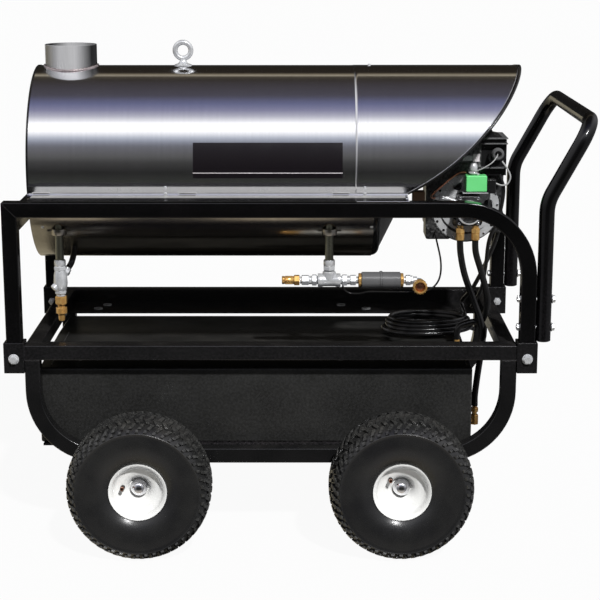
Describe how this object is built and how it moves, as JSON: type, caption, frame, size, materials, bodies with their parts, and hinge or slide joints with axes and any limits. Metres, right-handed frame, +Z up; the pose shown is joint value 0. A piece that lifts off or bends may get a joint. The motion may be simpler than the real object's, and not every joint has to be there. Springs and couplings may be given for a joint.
{
  "type": "hot water generator cart",
  "caption": "Oil-fired coil heater drum for a pressure washer on a four-wheel square-tube cart, with fuel tank, burner, push handle and water fittings.",
  "frame": {"origin": "on the floor, under the middle of the overall length and width (70.3 mm behind the line midway between the two axles)", "axes": "+X to the burner and push handle (rear of the cart), -Y to the side with the water fittings (left of a person pushing), +Z up"},
  "size_m": [1.4734, 1.032, 1.243],
  "materials": {
    "frame_black": "gloss black powder coat",
    "tank_black": "satin black paint",
    "stainless_jacket": "brushed round the drum, semi-bright",
    "stainless_lower": "brushed, mirroring the dark floor of the cart",
    "zinc_hardware": "bright zinc plate",
    "hub_chrome": "polished chrome",
    "brass_fittings": "machined brass",
    "coil_pipe": "mill-finish steel pipe",
    "tyre_rubber": "black turf rubber",
    "rim_white": "gloss white enamel",
    "burner_cast": "black painted casting",
    "shutter_plate": "bright pressed plate",
    "black_plastic": "moulded, satin",
    "solenoid_green": "moulded coil, light green",
    "button_red": "moulded",
    "hose_rubber": "smooth black rubber",
    "ceramic_fibre": "off-white fibre"
  },
  "bodies": {
    "cart": {"lower_frame": "frame_black", "upper_cage": "frame_black", "handle": "frame_black", "burner_end_plate": "frame_black", "fuel_tank": "tank_black", "upper_shell": "stainless_jacket", "burner_hood": "stainless_jacket", "exhaust_stack": "stainless_jacket", "lower_shell": "stainless_lower", "flue_end_plate": "stainless_lower", "frame_bolt_1": "zinc_hardware", "frame_bolt_2": "zinc_hardware", "frame_bolt_3": "zinc_hardware", "frame_bolt_4": "zinc_hardware", "handle_bolt_1": "zinc_hardware", "handle_bolt_2": "zinc_hardware", "handle_bolt_3": "zinc_hardware", "handle_bolt_4": "zinc_hardware", "front_axle": "zinc_hardware", "rear_axle": "zinc_hardware", "lifting_eye": "zinc_hardware", "outlet_fitting": "zinc_hardware", "inlet_tee": "zinc_hardware", "inlet_elbow": "zinc_hardware", "tank_fitting": "brass_fittings", "outlet_coupler": "brass_fittings", "relief_valve": "brass_fittings", "nozzle_assembly": "brass_fittings", "heating_coil": "coil_pipe", "blower_housing": "burner_cast", "burner_motor": "burner_cast", "fuel_pump": "burner_cast", "blast_tube": "burner_cast", "flow_switch": "black_plastic", "control_box": "black_plastic", "solenoid_valve": "solenoid_green", "fuel_supply_hose": "hose_rubber", "fuel_return_hose": "hose_rubber", "power_cord": "hose_rubber", "combustion_chamber": "ceramic_fibre"},
    "wheel_front_left": {"tyre_front_left": "tyre_rubber", "rim_front_left": "rim_white", "hub_cap_front_left": "hub_chrome"},
    "wheel_front_right": {"tyre_front_right": "tyre_rubber", "rim_front_right": "rim_white", "hub_cap_front_right": "hub_chrome"},
    "wheel_rear_left": {"tyre_rear_left": "tyre_rubber", "rim_rear_left": "rim_white", "hub_cap_rear_left": "hub_chrome"},
    "wheel_rear_right": {"tyre_rear_right": "tyre_rubber", "rim_rear_right": "rim_white", "hub_cap_rear_right": "hub_chrome"},
    "tank_cap": {"tank_cap": "black_plastic"},
    "coupler_sleeve": {"coupler_sleeve": "brass_fittings"},
    "flow_piston": {"flow_piston": "brass_fittings"},
    "inlet_swivel": {"inlet_swivel": "brass_fittings"},
    "air_shutter": {"air_shutter": "shutter_plate"},
    "fan_and_shaft": {"blower_wheel": "zinc_hardware"},
    "igniter_lid": {"igniter": "burner_cast"},
    "reset_button": {"reset_button": "button_red"}
  },
  "joints": [
    {"name": "wheel_front_left_spin", "type": "hinge", "parent": "cart", "child": "wheel_front_left", "pos_m": [-0.3943, -0.443, 0.17976], "axis": [0, 1, 0], "continuous": true},
    {"name": "wheel_front_right_spin", "type": "hinge", "parent": "cart", "child": "wheel_front_right", "pos_m": [-0.3943, 0.443, 0.17976], "axis": [0, 1, 0], "continuous": true},
    {"name": "wheel_rear_left_spin", "type": "hinge", "parent": "cart", "child": "wheel_rear_left", "pos_m": [0.2537, -0.443, 0.17976], "axis": [0, 1, 0], "continuous": true},
    {"name": "wheel_rear_right_spin", "type": "hinge", "parent": "cart", "child": "wheel_rear_right", "pos_m": [0.2537, 0.443, 0.17976], "axis": [0, 1, 0], "continuous": true},
    {"name": "tank_cap_turn", "type": "hinge", "parent": "cart", "child": "tank_cap", "pos_m": [0.3597, 0.058, 0.465], "axis": [0, 0, 1], "continuous": true},
    {"name": "coupler_sleeve_slide", "type": "slide", "parent": "cart", "child": "coupler_sleeve", "axis": [0, 0, 1], "range_m": [0, 0.006]},
    {"name": "flow_piston_slide", "type": "slide", "parent": "cart", "child": "flow_piston", "axis": [-1, 0, 0], "range_m": [0, 0.008]},
    {"name": "inlet_swivel_turn", "type": "hinge", "parent": "cart", "child": "inlet_swivel", "pos_m": [0.3087, -0.228, 0.636], "axis": [0, 1, 0], "continuous": true},
    {"name": "air_shutter_turn", "type": "hinge", "parent": "cart", "child": "air_shutter", "pos_m": [0.4417, -0.064, 0.822], "axis": [0, 1, 0], "range_deg": [0, 30]},
    {"name": "fan_spin", "type": "hinge", "parent": "cart", "child": "fan_and_shaft", "pos_m": [0.4417, 0, 0.822], "axis": [0, 1, 0], "continuous": true},
    {"name": "igniter_hinge", "type": "hinge", "parent": "cart", "child": "igniter_lid", "pos_m": [0.3417, 0, 0.9903], "axis": [0, -1, 0], "range_deg": [0, 80]},
    {"name": "reset_button_press", "type": "slide", "parent": "cart", "child": "reset_button", "axis": [-1, 0, 0], "range_m": [0, 0.003]}
  ]
}
